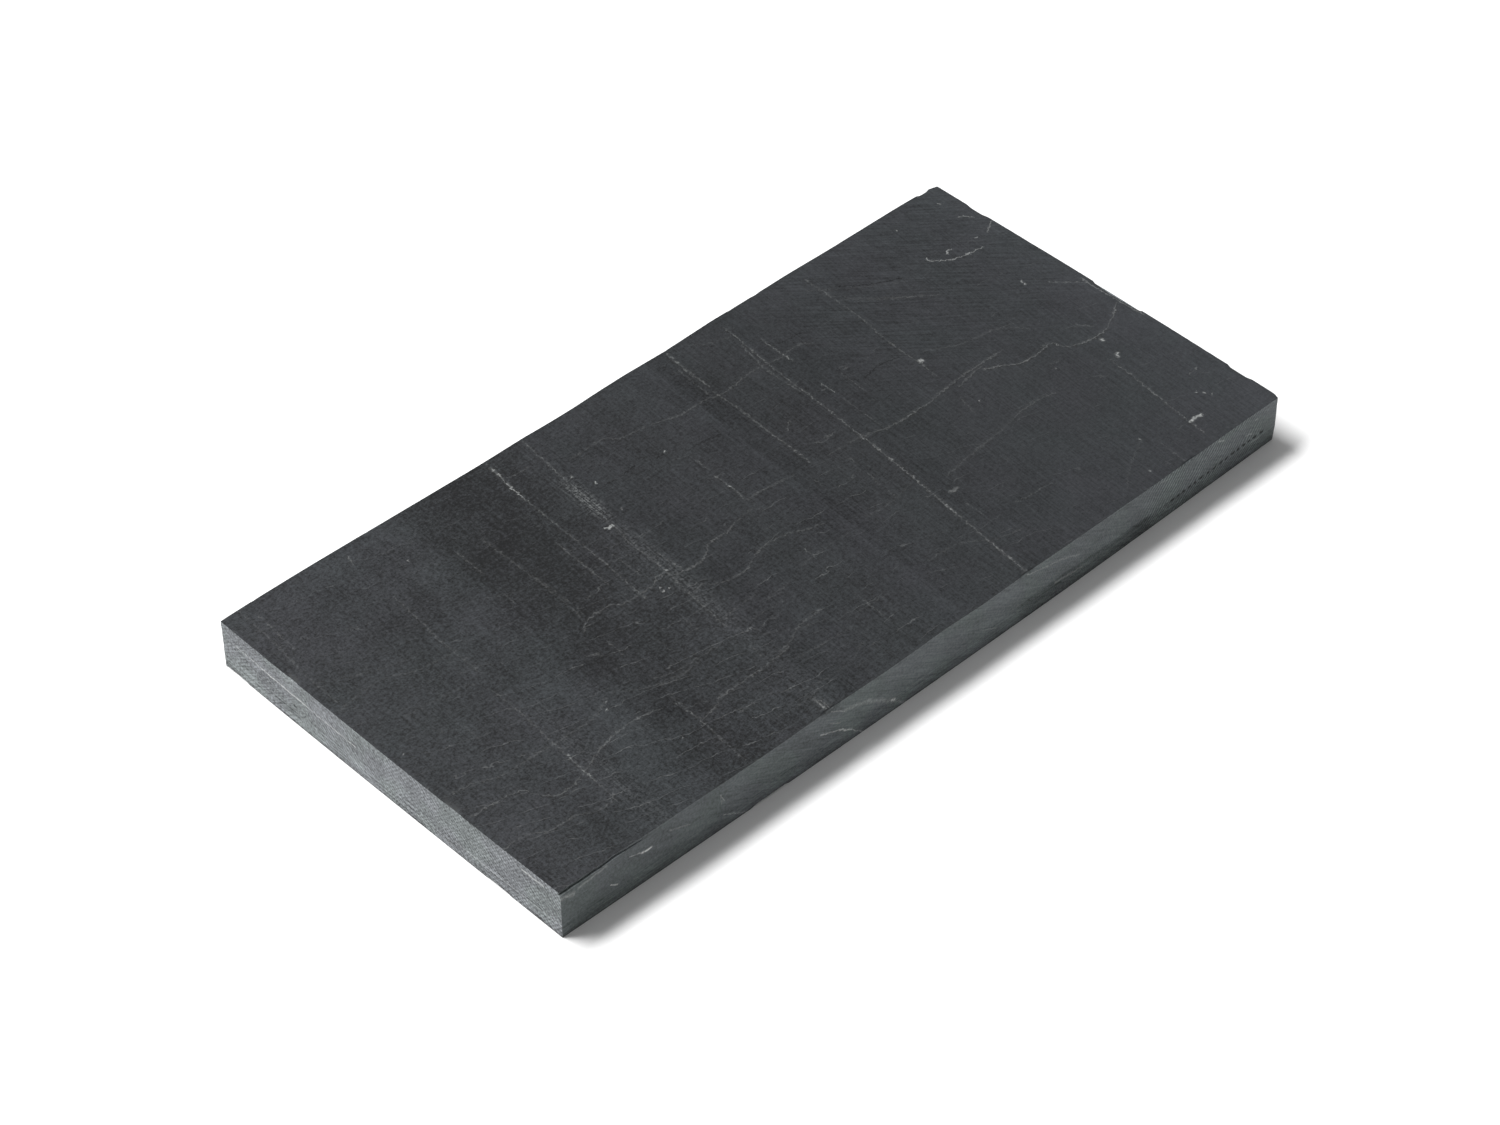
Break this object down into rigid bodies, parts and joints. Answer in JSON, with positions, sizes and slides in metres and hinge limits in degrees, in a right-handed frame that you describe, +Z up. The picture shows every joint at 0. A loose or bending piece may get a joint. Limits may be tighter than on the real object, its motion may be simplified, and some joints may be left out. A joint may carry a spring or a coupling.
{
  "type": "slate slab",
  "caption": "Rectangular slab of grey slate with a riven, wavy upper face, sawn sides, a chipped rim and a flat underside.",
  "frame": {"origin": "middle of the flat bed that the slab rests on, at the middle of its box in X and Y", "axes": "+X along the slab's length, +Y across its width, +Z up from the bed to the riven face"},
  "size_m": [0.6046, 0.3046, 0.037],
  "materials": {
    "slate": "matte"
  },
  "bodies": {
    "root": {"slate_slab": "slate"}
  },
  "joints": []
}
